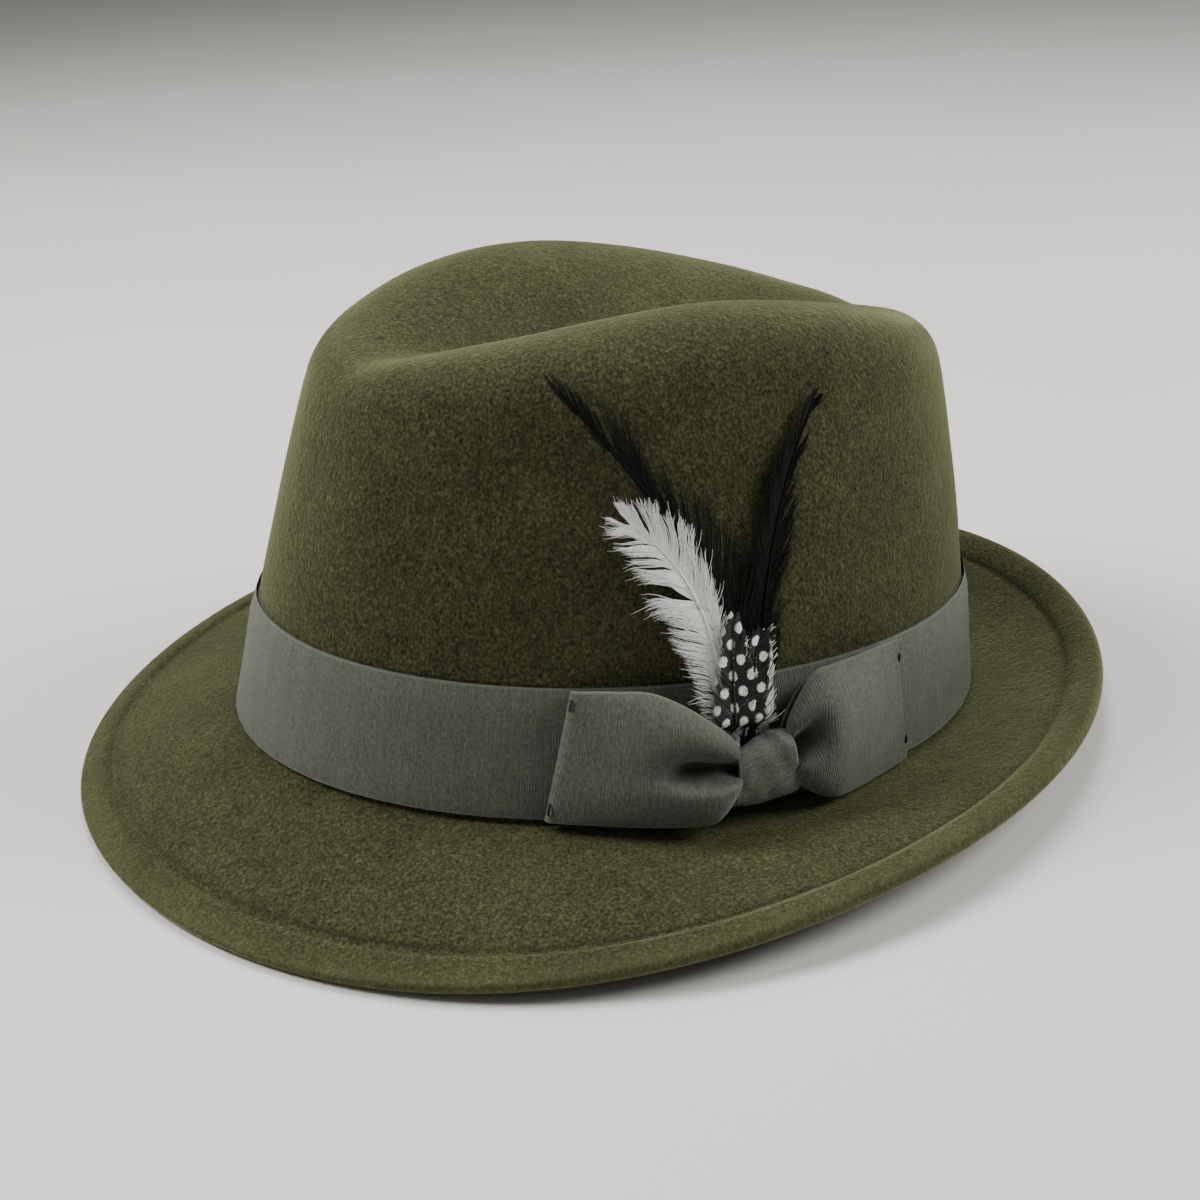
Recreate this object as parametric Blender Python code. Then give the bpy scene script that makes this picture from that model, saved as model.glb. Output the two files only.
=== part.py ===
"""A short-brimmed felt hat with a ribbon band, a flat bow and feathers.

The hat is drawn upright: +Z up, the front towards -Y, the wearer's left towards +X, with z = 0 on the upper side
of the brim where the crown rises from it. At the end it leans back a little on its brim, as it rests by itself.
Angles round the crown run from the wearer's left (0) towards the back (a quarter turn). Sizes are in metres.
"""

import math
from collections import namedtuple

import bmesh
import bpy
from mathutils import Matrix, Vector

# Crown
HEAD_LENGTH = 0.200  # inside, front to back
HEAD_WIDTH = 0.168  # inside, side to side
FELT = 0.002
CROWN_HEIGHT = 0.111  # break of the brim to the highest point of the ridges
TOP_LENGTH = 0.175  # outside the crown, where its wall turns into the top
TOP_WIDTH = 0.139
TOP_LEAN = 0.0035  # how far the top sits behind the middle of the brim
WALL_BULGE = 0.0013  # how far the wall swells between brim and top
SHOULDER = 0.020  # rounding between wall and top at the side
CREASE_DEPTH = 0.022
CREASE_HALF_WIDTH_AT_ENDS = 0.016

# Brim
BRIM_WIDTH = 0.044  # in plan, at the side
BRIM_SNAP = 0.022  # how far the edge leaves the level of the break
BRIM_CURL = 1.35  # 1 is a flat flange, more curls near the edge
WELT_WIDTH = 0.009  # the folded edge
WELT = 0.004
WELT_GROOVE = 0.0007
REST_FLAT = 0.0008  # how much the felt flattens where it rests

# Ribbon band
RIBBON_WIDTH = 0.030
RIBBON = 0.001
RIBBON_RISE = 0.001  # its lower edge above the break
SEAT = 0.0003  # gap between pieces that touch
BAND_SLACK = 0.0005  # the band's upper edge stands off a little more

# Bow
KNOT_ANGLE = math.radians(-9.2)
KNOT_LENGTH = 0.0145  # along the band
KNOT_HEIGHT = 0.0150
KNOT_DEPTH = 0.0088
KNOT_DROP = 0.0052  # its middle below the middle of the band
WING_LENGTH = 0.0470  # from the middle of the knot to the fold at a wing's end
WING_PUFF = 0.0066  # how far a wing's front stands off its back near the knot
BOW_RIBBON = 0.0009
PINCH_HALF_HEIGHT = 0.0045
PINCH_GAP = 0.0012  # between the front and back layers in the knot
FOLD_GAP = 0.0010  # between the layers at a wing's end
PINCH_BACK = 0.0038  # from the band to the back of the pinched bow
PLEAT_DEPTH = 0.0048

# Feathers
PLUME_HEIGHT = 0.0860  # the longest feather's rise above the middle of the knot
QUILL_SINK = 0.0047  # how far a quill reaches below the middle of the knot
VANE = 0.0008
QUILL = 0.0011
LAYER = 0.0012  # from one feather to the next, outwards
LAYER_RISE = 0.004  # height above the knot over which a feather rises to its layer
LOCK_NOTCH = 0.26  # depth of the notches between locks, as a share of the vane's half width
BARB_SWEEP = 0.35  # how far the vane's edge runs ahead of the shaft, for each unit of width
SHAFT_RIDGE = 0.0003  # how far the shaft stands out of the vane at the foot

# Counts
ROUND = 64
WING_STATIONS = 12
ACROSS_RIBBON = 8
QUILL_STATIONS = 4

# The brim and shoulder in five directions: shares of BRIM_WIDTH, BRIM_SNAP and SHOULDER.
Direction = namedtuple("Direction", "name width edge_height shoulder")
DIRECTIONS = (
    Direction("front", 0.93, -1.00, 0.80),
    Direction("front_quarter", 1.08, -0.73, 0.95),
    Direction("side", 1.00, 0.10, 1.00),
    Direction("back_quarter", 0.80, 0.50, 0.85),
    Direction("back", 0.78, 0.80, 0.70),
)

# The top of the crown along its middle, from front (-1) to back (1): shares of CROWN_HEIGHT and CREASE_DEPTH.
Station = namedtuple("Station", "along ridge crease")
CROWN_TOP = (
    Station(-1.00, 0.873, 0.10),
    Station(-0.78, 0.925, 0.48),
    Station(-0.45, 0.977, 0.90),
    Station(-0.05, 1.000, 1.00),
    Station(0.40, 0.968, 0.78),
    Station(0.75, 0.918, 0.38),
    Station(1.00, 0.868, 0.10),
)

# The felt's rings from the middle of the crown to the brim's edge.
TOP_RINGS = (0.14, 0.32, 0.50, 0.66, 0.80, 0.91, 1.0)  # shares of the top
SHOULDER_RINGS = (0.75, 0.50, 0.25)  # shares of the turn from wall to top
WALL_RINGS = (1.0, 0.84, 0.66, 0.48, 0.32, 0.16)  # shares of the wall's height
BREAK_RINGS = ((0.0, 0.0012), (0.0004, 0.0001), (0.0015, -0.0003), (0.0034, -0.0003))  # metres out and up
BRIM_RINGS = (0.25, 0.50, 0.75)  # shares of the brim's width

# How fast each wing's ribbon opens from the knot to its full width: shares of the wing beyond the knot.
Wing = namedtuple("Wing", "side upper lower")
WINGS = (Wing(-1, 0.50, 0.26), Wing(1, 0.17, 0.30))

# A feather's shaft runs from the knot over a bend to its tip, along the band (towards the back) and up, and its
# vane reaches out to both sides: shares of PLUME_HEIGHT. Foot is its place in the knot and layer its rank outwards.
Feather = namedtuple("Feather", "name foot bend_along bend_up tip_along tip_up before behind bare layer locks colour")
FEATHERS = (
    Feather("feather_black_back", 0.027, 0.020, 0.62, 0.300, 0.960, 0.045, 0.060, 0.30, 0, 5, "black"),
    Feather("feather_black_front", 0.001, 0.030, 0.56, -0.610, 1.040, 0.030, 0.080, 0.30, 1, 5, "black"),
    Feather("feather_white", -0.078, -0.060, 0.50, -0.430, 0.725, 0.165, 0.150, 0.25, 2, 7, "white"),
    Feather("feather_spotted_back", -0.022, -0.020, 0.28, 0.000, 0.445, 0.080, 0.085, 0.38, 3, 4, "spotted"),
    Feather("feather_spotted", -0.048, -0.090, 0.24, -0.085, 0.430, 0.085, 0.095, 0.38, 4, 4, "spotted"),
)

OUTER_LENGTH = HEAD_LENGTH / 2 + FELT
OUTER_WIDTH = HEAD_WIDTH / 2 + FELT
KNOT_BACK = SEAT + QUILL + SEAT  # from the band to the back of the knot, with the quills between
PINCH = (KNOT_LENGTH / 2 + SEAT) / WING_LENGTH


def round_series(column):
    """A smooth even curve of the angle from the front through a column of DIRECTIONS, as its cosine terms."""
    values = [getattr(row, column) for row in DIRECTIONS]
    last = len(values) - 1
    terms = []
    for order in range(last + 1):
        total = 0.0
        for index, value in enumerate(values):
            weight = 0.5 if index in (0, last) else 1.0
            total += weight * value * math.cos(math.pi * order * index / last)
        scale = 1.0 if order in (0, last) else 2.0
        terms.append(scale * total / last)
    return terms


SERIES = {column: round_series(column) for column in ("width", "edge_height", "shoulder")}


def in_direction(column, angle):
    """The share in a column of DIRECTIONS at an angle round the crown."""
    from_front = angle + math.pi / 2
    return sum(term * math.cos(order * from_front) for order, term in enumerate(SERIES[column]))


def along_top(column, along):
    """The share in a column of CROWN_TOP at a place along it, on a smooth curve through the rows."""
    rows = CROWN_TOP
    along = min(max(along, rows[0].along), rows[-1].along)
    index = next(i for i in range(1, len(rows)) if along <= rows[i].along)
    places = [row.along for row in rows]
    values = [getattr(row, column) for row in rows]

    def slope(i):
        low, high = max(i - 1, 0), min(i + 1, len(rows) - 1)
        return (values[high] - values[low]) / (places[high] - places[low])

    span = places[index] - places[index - 1]
    u = (along - places[index - 1]) / span
    start, end = values[index - 1], values[index]
    rise = slope(index - 1) * span
    run = slope(index) * span
    return (
        start * (2 * u**3 - 3 * u**2 + 1)
        + rise * (u**3 - 2 * u**2 + u)
        + end * (3 * u**2 - 2 * u**3)
        + run * (u**3 - u**2)
    )


def oval(angle, half_length, half_width):
    return Vector((half_width * math.cos(angle), half_length * math.sin(angle), 0.0))


def outward(angle, half_length=OUTER_LENGTH, half_width=OUTER_WIDTH):
    """The level direction square to an oval at an angle."""
    return Vector((math.cos(angle) / half_width, math.sin(angle) / half_length, 0.0)).normalized()


def shoulder_at(angle):
    return SHOULDER * in_direction("shoulder", angle)


WALL_LEAN = math.atan((OUTER_LENGTH - TOP_LENGTH / 2) / (CROWN_HEIGHT - SHOULDER))


def top_edge(angle):
    """Where the shoulder ends and the top begins, in plan."""
    inset = shoulder_at(angle) * math.cos(WALL_LEAN)
    edge = oval(angle, TOP_LENGTH / 2, TOP_WIDTH / 2) - outward(angle, TOP_LENGTH, TOP_WIDTH) * inset
    return edge + Vector((0.0, TOP_LEAN, 0.0))


FRONT_OF_TOP = top_edge(-math.pi / 2).y
BACK_OF_TOP = top_edge(math.pi / 2).y
SIDE_OF_TOP = top_edge(0.0).x


def top_height(x, y):
    """The height of the creased top at a place in plan."""
    middle = (FRONT_OF_TOP + BACK_OF_TOP) / 2
    half = (BACK_OF_TOP - FRONT_OF_TOP) / 2
    along = min(max((y - middle) / half, -1.0), 1.0)
    half_width = max(SIDE_OF_TOP * math.sqrt(1 - along**2), CREASE_HALF_WIDTH_AT_ENDS)
    rounding = 0.16
    out = min(math.hypot(x / half_width, rounding), 1.0)
    valley = 1 - math.sin(math.pi / 2 * out)
    depth = CREASE_DEPTH * along_top("crease", along) * valley / (1 - math.sin(math.pi / 2 * rounding))
    return CROWN_HEIGHT * along_top("ridge", along) - depth


def wall_top(angle):
    """The height at which the wall turns into the shoulder."""
    edge = top_edge(angle)
    return top_height(edge.x, edge.y) - shoulder_at(angle) * (1 - math.sin(WALL_LEAN))


def wall(angle, height, off=0.0):
    """A point at a height on the crown's wall, moved off it by a distance."""
    share = height / wall_top(angle)
    half_length = OUTER_LENGTH + (TOP_LENGTH / 2 - OUTER_LENGTH) * share
    half_width = OUTER_WIDTH + (TOP_WIDTH / 2 - OUTER_WIDTH) * share
    place = oval(angle, half_length, half_width) + Vector((0.0, TOP_LEAN * share, height))
    bulge = outward(angle) * WALL_BULGE * max(4 * share * (1 - share), 0.0)
    tilt = Vector((0.0, 0.0, math.tan(WALL_LEAN)))
    return place + bulge + (outward(angle) + tilt).normalized() * off


def brim(angle, out):
    """A point on the brim's upper side at a distance out from the crown, in plan."""
    share = out / brim_width(angle)
    rise = BRIM_SNAP * in_direction("edge_height", angle) * share**BRIM_CURL
    return oval(angle, OUTER_LENGTH, OUTER_WIDTH) + outward(angle) * out + Vector((0.0, 0.0, rise))


def brim_width(angle):
    return BRIM_WIDTH * in_direction("width", angle)


def angles(count=ROUND):
    return [2 * math.pi * k / count for k in range(count)]


def felt_rings():
    """The rings of the felt's upper side, from the middle of the crown outwards, each with the felt's thickness."""
    rings = []
    middle = (FRONT_OF_TOP + BACK_OF_TOP) / 2
    for share in TOP_RINGS:
        ring = []
        for angle in angles():
            edge = top_edge(angle)
            x, y = edge.x * share, middle + (edge.y - middle) * share
            ring.append(Vector((x, y, top_height(x, y))))
        rings.append((ring, FELT))
    for share in SHOULDER_RINGS:
        turn = WALL_LEAN + (math.pi / 2 - WALL_LEAN) * share
        ring = []
        for angle in angles():
            radius = shoulder_at(angle)
            in_by = outward(angle, TOP_LENGTH, TOP_WIDTH) * radius * (math.cos(WALL_LEAN) - math.cos(turn))
            up = Vector((0.0, 0.0, radius * (math.sin(turn) - math.sin(WALL_LEAN))))
            ring.append(wall(angle, wall_top(angle)) - in_by + up)
        rings.append((ring, FELT))
    for share in WALL_RINGS:
        rings.append(([wall(angle, wall_top(angle) * share) for angle in angles()], FELT))
    for out, up in BREAK_RINGS:
        ring = [brim(angle, out) + Vector((0.0, 0.0, up)) for angle in angles()]
        rings.append((ring, FELT))
    for share in BRIM_RINGS:
        ring = [brim(a, (brim_width(a) - WELT_WIDTH) * share) for a in angles()]
        rings.append((ring, FELT))
    return rings + welt_rings()


def welt_rings():
    """The pressed line and the folded edge outside it."""
    Welt = namedtuple("Welt", "inside raised thickness")
    rows = (
        Welt(WELT_WIDTH + 0.0012, 0.0, FELT),
        Welt(WELT_WIDTH, -WELT_GROOVE, FELT),
        Welt(WELT_WIDTH - 0.0014, (WELT - FELT) * 0.25, (WELT + FELT) / 2),
        Welt(WELT_WIDTH * 0.5, (WELT - FELT) * 0.4, WELT),
        Welt(WELT * 0.45, (WELT - FELT) * 0.4, WELT),
    )
    rings = []
    for row in rows:
        up = Vector((0.0, 0.0, row.raised))
        rings.append(([brim(a, brim_width(a) - row.inside) + up for a in angles()], row.thickness))
    return rings


def normals_of(rings):
    """The upward normal at each point of a grid of rings that run outwards."""
    found = []
    for index, ring in enumerate(rings):
        inner = rings[max(index - 1, 0)]
        outer = rings[min(index + 1, len(rings) - 1)]
        row = []
        for k in range(len(ring)):
            round_it = ring[(k + 1) % len(ring)] - ring[k - 1]
            out = outer[k] - inner[k]
            row.append(out.cross(round_it).normalized())
        found.append(row)
    return found


def loft(rings, closed_ends=True):
    """A bmesh skinned over rings of equally many points, with a fan over each end."""
    mesh = bmesh.new()
    loops = [[mesh.verts.new(point) for point in ring] for ring in rings]
    for first, second in zip(loops, loops[1:]):
        for k in range(len(first)):
            after = (k + 1) % len(first)
            mesh.faces.new((first[k], first[after], second[after], second[k]))
    if closed_ends:
        for loop in (loops[0], loops[-1]):
            middle = mesh.verts.new(sum((v.co for v in loop), Vector()) / len(loop))
            for k in range(len(loop)):
                mesh.faces.new((middle, loop[k], loop[(k + 1) % len(loop)]))
    bmesh.ops.recalc_face_normals(mesh, faces=mesh.faces)
    return mesh


def add_object(name, mesh, material, parent):
    """An object made of a bmesh, shaded smooth, under the empty that holds the hat at rest."""
    data = bpy.data.meshes.new(name)
    mesh.to_mesh(data)
    mesh.free()
    data.materials.append(material)
    data.shade_smooth()
    data.set_sharp_from_angle(angle=math.radians(50))
    thing = bpy.data.objects.new(name, data)
    bpy.context.scene.collection.objects.link(thing)
    thing.parent = parent
    return thing


def make_material(name, colour, roughness):
    material = bpy.data.materials.new(name)
    material.use_nodes = True
    shader = material.node_tree.nodes["Principled BSDF"]
    shader.inputs["Base Color"].default_value = (*colour, 1.0)
    shader.inputs["Roughness"].default_value = roughness
    shader.inputs["Metallic"].default_value = 0.0
    return material


def felt():
    return make_material("felt", (0.035, 0.040, 0.012), 0.95)


def ribbon(name):
    return make_material(name, (0.085, 0.092, 0.072), 0.70)


def barbs(feather):
    """The material of one feather's vane and shaft."""
    shades = {"black": (0.010, 0.010, 0.010), "white": (0.78, 0.78, 0.75), "spotted": (0.060, 0.060, 0.056)}
    return make_material(f"{feather.name}_barbs", shades[feather.colour], 0.60)


def felt_points():
    """The felt's upper and lower rings and the round nose between them, as one run of rings from pole to pole."""
    upper = felt_rings()
    points = [ring for ring, _ in upper]
    normals = normals_of(points)
    lower = []
    for (ring, thickness), row in zip(upper, normals):
        lower.append([point - normal * thickness for point, normal in zip(ring, row)])
    nose = []
    for depth, short in ((0.15, 0.12), (0.5, 0.0), (0.85, 0.12)):
        ring = []
        for k, angle in enumerate(angles()):
            edge = points[-1][k] + outward(angle) * (WELT * 0.45 - WELT * short)
            ring.append(edge - normals[-1][k] * WELT * depth)
        nose.append(ring)
    return points + nose + lower[::-1]


def rest_frame(rings):
    """The turn and shift that set the hat on its brim: it leans until the brim's front and the break at the back
    both touch, and its middle comes over the origin."""
    side = sorted((point.y, point.z) for ring in rings for point in ring)
    hull = []
    for place in side:
        while len(hull) > 1 and turn_of(hull[-2], hull[-1], place) <= 0:
            hull.pop()
        hull.append(place)
    first, second = next((a, b) for a, b in zip(hull, hull[1:]) if a[0] <= 0.0 < b[0])
    lean = math.atan2(second[1] - first[1], second[0] - first[0])
    turned = Matrix.Rotation(-lean, 4, "X")
    placed = [turned @ point for ring in rings for point in ring]
    low = Vector(min(p[k] for p in placed) for k in range(3))
    high = Vector(max(p[k] for p in placed) for k in range(3))
    shift = Vector((-(low.x + high.x) / 2, -(low.y + high.y) / 2, -low.z - REST_FLAT))
    return Matrix.Translation(shift) @ turned


def turn_of(a, b, c):
    """Positive where the path a, b, c turns left."""
    return (b[0] - a[0]) * (c[1] - a[1]) - (b[1] - a[1]) * (c[0] - a[0])


def make_felt(rings, rest, material, parent):
    """Crown and brim, one blocked piece of felt, pressed flat where it touches the surface that it rests on."""
    back = rest.inverted()
    pressed = []
    for ring in rings:
        row = []
        for point in ring:
            placed = rest @ point
            placed.z = max(placed.z, 0.0)
            row.append(back @ placed)
        pressed.append(row)
    add_object("felt_body", loft(pressed), material, parent)


def band_point(angle, up, off):
    """A point off the crown's wall at a height above the band's lower edge, in front of the band's inner side."""
    slack = BAND_SLACK * min(max(up / RIBBON_WIDTH, 0.0), 1.0)
    return wall(angle, RIBBON_RISE + up, SEAT + slack + off)


def make_band(material, parent):
    """The ribbon, once round the crown."""
    mesh = bmesh.new()
    loops = []
    for up, off in ((0, 0), (0.33, 0), (0.67, 0), (1, 0), (1, 1), (0.67, 1), (0.33, 1), (0, 1)):
        loops.append([mesh.verts.new(band_point(a, up * RIBBON_WIDTH, off * RIBBON)) for a in angles()])
    for first, second in zip(loops, loops[1:] + loops[:1]):
        for k in range(len(first)):
            after = (k + 1) % len(first)
            mesh.faces.new((first[k], first[after], second[after], second[k]))
    bmesh.ops.recalc_face_normals(mesh, faces=mesh.faces)
    add_object("ribbon_band", mesh, material, parent)


def ease(u):
    return u * u * (3 - 2 * u)


def on_bow(along, up, off):
    """A point of the bow: along the band from the knot, above the band's middle, and off the band's outer side."""
    angle = KNOT_ANGLE + along / OUTER_LENGTH
    return band_point(angle, RIBBON_WIDTH / 2 + up, RIBBON + off)


def wing_layer(wing, along, across, front):
    """A point of one layer of the bow. Along runs from the knot (0) to the fold (1), across from -1 to 1."""
    out = max(along - PINCH, 0.0) / (1 - PINCH)
    open_up = ease(min(out / (wing.upper if across > 0 else wing.lower), 1.0))
    half = PINCH_HALF_HEIGHT + (RIBBON_WIDTH / 2 - PINCH_HALF_HEIGHT) * open_up
    middle = KNOT_DROP * (1 - open_up)
    up = across * (half - middle if across < 0 else half) - middle
    back = PINCH_BACK + (SEAT - PINCH_BACK) * ease(min(out / 0.85, 1.0))
    if not front:
        return up, back
    gap = PINCH_GAP + (FOLD_GAP - PINCH_GAP) * out + 2 * BOW_RIBBON
    swell = math.sin(math.pi * min(out / 0.92, 1.0) ** 0.60)
    puff = WING_PUFF * swell * math.sqrt(1 - (0.80 * across) ** 2)
    close = math.exp(-((out / 0.30) ** 2)) * ease(min(out / 0.06, 1.0))
    pleat = PLEAT_DEPTH * math.exp(-(((across - 0.05) / 0.38) ** 2)) * close
    return up, back + gap + max(puff - pleat, 0.0)


def bow_stations():
    """The bow's ribbon round its loop, starting at the knot: (wing, along, front)."""
    steps = [0.0] + [PINCH + (1 - PINCH) * (k / WING_STATIONS) ** 1.3 for k in range(WING_STATIONS + 1)]
    first, second = WINGS
    loop = [(first, u, True) for u in steps]
    loop += [(first, u, False) for u in reversed(steps)]
    loop += [(second, u, False) for u in steps[1:]]
    loop += [(second, u, True) for u in reversed(steps[1:])]
    return loop


def make_bow_loop(material, parent):
    """One loop of ribbon flattened into two wings and pinched in the middle."""
    mesh = bmesh.new()
    sheets = []
    for depth in (0.0, BOW_RIBBON):
        rows = []
        for wing, along, front in bow_stations():
            row = []
            for k in range(ACROSS_RIBBON + 1):
                up, off = wing_layer(wing, along, 2 * k / ACROSS_RIBBON - 1, front)
                off += -depth if front else depth
                place = wing.side * (along * WING_LENGTH - (depth if along == 1.0 else 0.0))
                row.append(mesh.verts.new(on_bow(place, up, off)))
            rows.append(row)
        sheets.append(rows)
    outer, inner = sheets
    count = len(outer)
    for i in range(count):
        j = (i + 1) % count
        for k in range(ACROSS_RIBBON):
            mesh.faces.new((outer[i][k], outer[j][k], outer[j][k + 1], outer[i][k + 1]))
            mesh.faces.new((inner[i][k + 1], inner[j][k + 1], inner[j][k], inner[i][k]))
        for k in (0, ACROSS_RIBBON):
            mesh.faces.new((outer[i][k], inner[i][k], inner[j][k], outer[j][k]))
    bmesh.ops.recalc_face_normals(mesh, faces=mesh.faces)
    add_object("bow_loop", mesh, material, parent)


def make_knot(material, parent):
    """The short ribbon round the pinched middle of the bow."""
    mesh = bmesh.new()
    around = 20
    steps = 5
    sheets = []
    for depth in (0.0, BOW_RIBBON):
        rows = []
        for i in range(steps + 1):
            along = (i / steps - 0.5) * KNOT_LENGTH
            swell = 1 - 0.10 * (2 * i / steps - 1) ** 2
            row = []
            for k in range(around):
                turn = 2 * math.pi * k / around
                reach = 1 / (abs(math.cos(turn)) ** 3 + abs(math.sin(turn)) ** 3) ** (1 / 3)
                up = (KNOT_HEIGHT / 2 * swell - depth) * reach * math.sin(turn) - KNOT_DROP
                off = KNOT_BACK + KNOT_DEPTH / 2 + (KNOT_DEPTH / 2 - depth) * reach * math.cos(turn)
                row.append(mesh.verts.new(on_bow(along, up, off)))
            rows.append(row)
        sheets.append(rows)
    outer, inner = sheets
    for k in range(around):
        after = (k + 1) % around
        for i in range(steps):
            mesh.faces.new((outer[i][k], outer[i + 1][k], outer[i + 1][after], outer[i][after]))
            mesh.faces.new((inner[i][after], inner[i + 1][after], inner[i + 1][k], inner[i][k]))
        for i in (0, steps):
            mesh.faces.new((outer[i][k], outer[i][after], inner[i][after], inner[i][k]))
    bmesh.ops.recalc_face_normals(mesh, faces=mesh.faces)
    add_object("bow_knot", mesh, material, parent)


def feather_stations(feather):
    """Places along a feather from quill to tip, each with the share of the vane's width there."""
    stations = [(feather.bare * k / QUILL_STATIONS, 0.0) for k in range(QUILL_STATIONS)]
    pitch = (1 - feather.bare) / feather.locks
    for lock in range(feather.locks):
        for share, reach in ((0.10, 1 - LOCK_NOTCH), (0.45, 0.94), (0.82, 1.0), (0.98, 1 - LOCK_NOTCH / 2)):
            u = feather.bare + pitch * (lock + share)
            v = (u - feather.bare) / (1 - feather.bare)
            stations.append((u, math.sin(math.pi * v**0.75) ** 0.8 * reach))
    return stations


def feather_point(feather, u, aside, off):
    """A point of a feather: a share along its shaft, a distance to the back of it and a distance outwards."""
    foot = Vector((feather.foot, -QUILL_SINK / PLUME_HEIGHT))
    bend = Vector((feather.bend_along, feather.bend_up))
    tip = Vector((feather.tip_along, feather.tip_up))
    place = foot * (1 - u) ** 2 + bend * 2 * u * (1 - u) + tip * u**2
    heading = ((bend - foot) * (1 - u) + (tip - bend) * u).normalized()
    across = Vector((heading.y, -heading.x))
    place = place * PLUME_HEIGHT + across * aside + heading * abs(aside) * BARB_SWEEP
    above = (place.y - KNOT_HEIGHT / 2 - SEAT) / LAYER_RISE
    rise = feather.layer * LAYER * ease(min(max(above, 0.0), 1.0))
    return on_bow(place.x, place.y - KNOT_DROP, SEAT + rise + off)


def make_feather(feather, material, parent):
    """One feather: a quill, a shaft with a low ridge and a thin vane parted into locks."""
    rings = []
    for u, reach in feather_stations(feather):
        before = max(feather.before * PLUME_HEIGHT * reach, QUILL / 2)
        behind = max(feather.behind * PLUME_HEIGHT * reach, QUILL / 2)
        ridge = VANE + SHAFT_RIDGE * (1 - u)
        ring = []
        for aside, off in (
            (-before, VANE * 0.15),
            (-before * 0.5, 0.0),
            (0.0, 0.0),
            (behind * 0.5, 0.0),
            (behind, VANE * 0.15),
            (behind, VANE * 0.70),
            (behind * 0.5, VANE),
            (0.0, ridge),
            (-before * 0.5, VANE),
            (-before, VANE * 0.70),
        ):
            ring.append(feather_point(feather, u, aside, off))
        rings.append(ring)
    add_object(feather.name, loft(rings), material, parent)


def main():
    for thing in list(bpy.data.objects):
        bpy.data.objects.remove(thing)
    rings = felt_points()
    rest = rest_frame(rings)
    holder = bpy.data.objects.new("hat_at_rest", None)
    bpy.context.scene.collection.objects.link(holder)
    holder.matrix_world = rest
    make_felt(rings, rest, felt(), holder)
    make_band(ribbon("band_ribbon"), holder)
    make_bow_loop(ribbon("bow_ribbon"), holder)
    make_knot(ribbon("knot_ribbon"), holder)
    for feather in FEATHERS:
        make_feather(feather, barbs(feather), holder)


main()
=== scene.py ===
"""Looks for the short-brim felt hat: felt, ribbon, bow and feathers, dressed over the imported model."""

import logging
import math
import random
from dataclasses import dataclass, field
from enum import Enum
from typing import Callable

import bmesh
import bpy
from mathutils import Matrix, Vector, noise
from mathutils.bvhtree import BVHTree


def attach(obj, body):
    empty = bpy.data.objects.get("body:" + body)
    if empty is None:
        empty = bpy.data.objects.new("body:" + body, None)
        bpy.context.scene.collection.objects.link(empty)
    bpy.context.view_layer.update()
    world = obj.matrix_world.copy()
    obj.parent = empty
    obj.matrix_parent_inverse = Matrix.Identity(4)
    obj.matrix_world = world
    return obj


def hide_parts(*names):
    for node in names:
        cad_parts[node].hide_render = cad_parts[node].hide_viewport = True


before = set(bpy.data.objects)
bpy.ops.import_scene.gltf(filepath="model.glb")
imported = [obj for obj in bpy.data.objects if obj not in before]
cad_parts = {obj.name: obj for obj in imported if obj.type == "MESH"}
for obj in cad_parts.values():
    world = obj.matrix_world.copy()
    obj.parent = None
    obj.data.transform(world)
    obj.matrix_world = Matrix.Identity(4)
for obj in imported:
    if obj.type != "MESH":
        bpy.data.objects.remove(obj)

LOG = logging.getLogger("hat")
ROOT = "root"
UV_NAME = "cloth"
# Per vertex: how much painted shade lies on a place, along the brim's groove line and in the bow's fold.
PAINTED_SHADE_NAME = "painted_shade"
# Per vertex: how much painted sheen lies on the brim's rim.
RIM_SHEEN_NAME = "rim"


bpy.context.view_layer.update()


class Term:
    """A value in a shader: a socket whose operators add Math nodes."""

    def __init__(self, shade: "Shade", socket: bpy.types.NodeSocket) -> None:
        """Wrap a socket of a shade's node tree."""
        self.shade = shade
        self.socket = socket

    def _math(self, operation: str, *values: object) -> "Term":
        """Add one Math node over the given values."""
        inputs = dict(enumerate(values))
        return self.shade.term("ShaderNodeMath", {"operation": operation}, inputs)

    def __add__(self, other: object) -> "Term":
        """Sum."""
        return self._math("ADD", self, other)

    __radd__ = __add__

    def __sub__(self, other: object) -> "Term":
        """Difference."""
        return self._math("SUBTRACT", self, other)

    def __rsub__(self, other: object) -> "Term":
        """Difference the other way round."""
        return self._math("SUBTRACT", other, self)

    def __mul__(self, other: object) -> "Term":
        """Product."""
        return self._math("MULTIPLY", self, other)

    __rmul__ = __mul__

    def __truediv__(self, other: object) -> "Term":
        """Quotient."""
        return self._math("DIVIDE", self, other)

    def __rtruediv__(self, other: object) -> "Term":
        """Quotient the other way round."""
        return self._math("DIVIDE", other, self)

    def __pow__(self, other: object) -> "Term":
        """Power."""
        return self._math("POWER", self, other)

    def sine(self) -> "Term":
        """Sine of an angle in radians."""
        return self._math("SINE", self)

    def size(self) -> "Term":
        """The value without its sign."""
        return self._math("ABSOLUTE", self)

    def rest_of(self, step: float) -> "Term":
        """What is left after whole steps, from 0 to the step."""
        return self._math("FLOORED_MODULO", self, step)

    def whole(self) -> "Term":
        """The next whole number below."""
        return self._math("FLOOR", self)

    def between(self, low: float, high: float) -> "Term":
        """A smooth step from 0 at low to 1 at high.

        Args:
            low: the value that gives 0.
            high: the value that gives 1; it may be the smaller one.

        Returns:
            The stepped value.
        """
        inputs = {0: self, 1: low, 2: high, 3: 0.0, 4: 1.0}
        return self.shade.term("ShaderNodeMapRange", {"interpolation_type": "SMOOTHSTEP"}, inputs)


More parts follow.
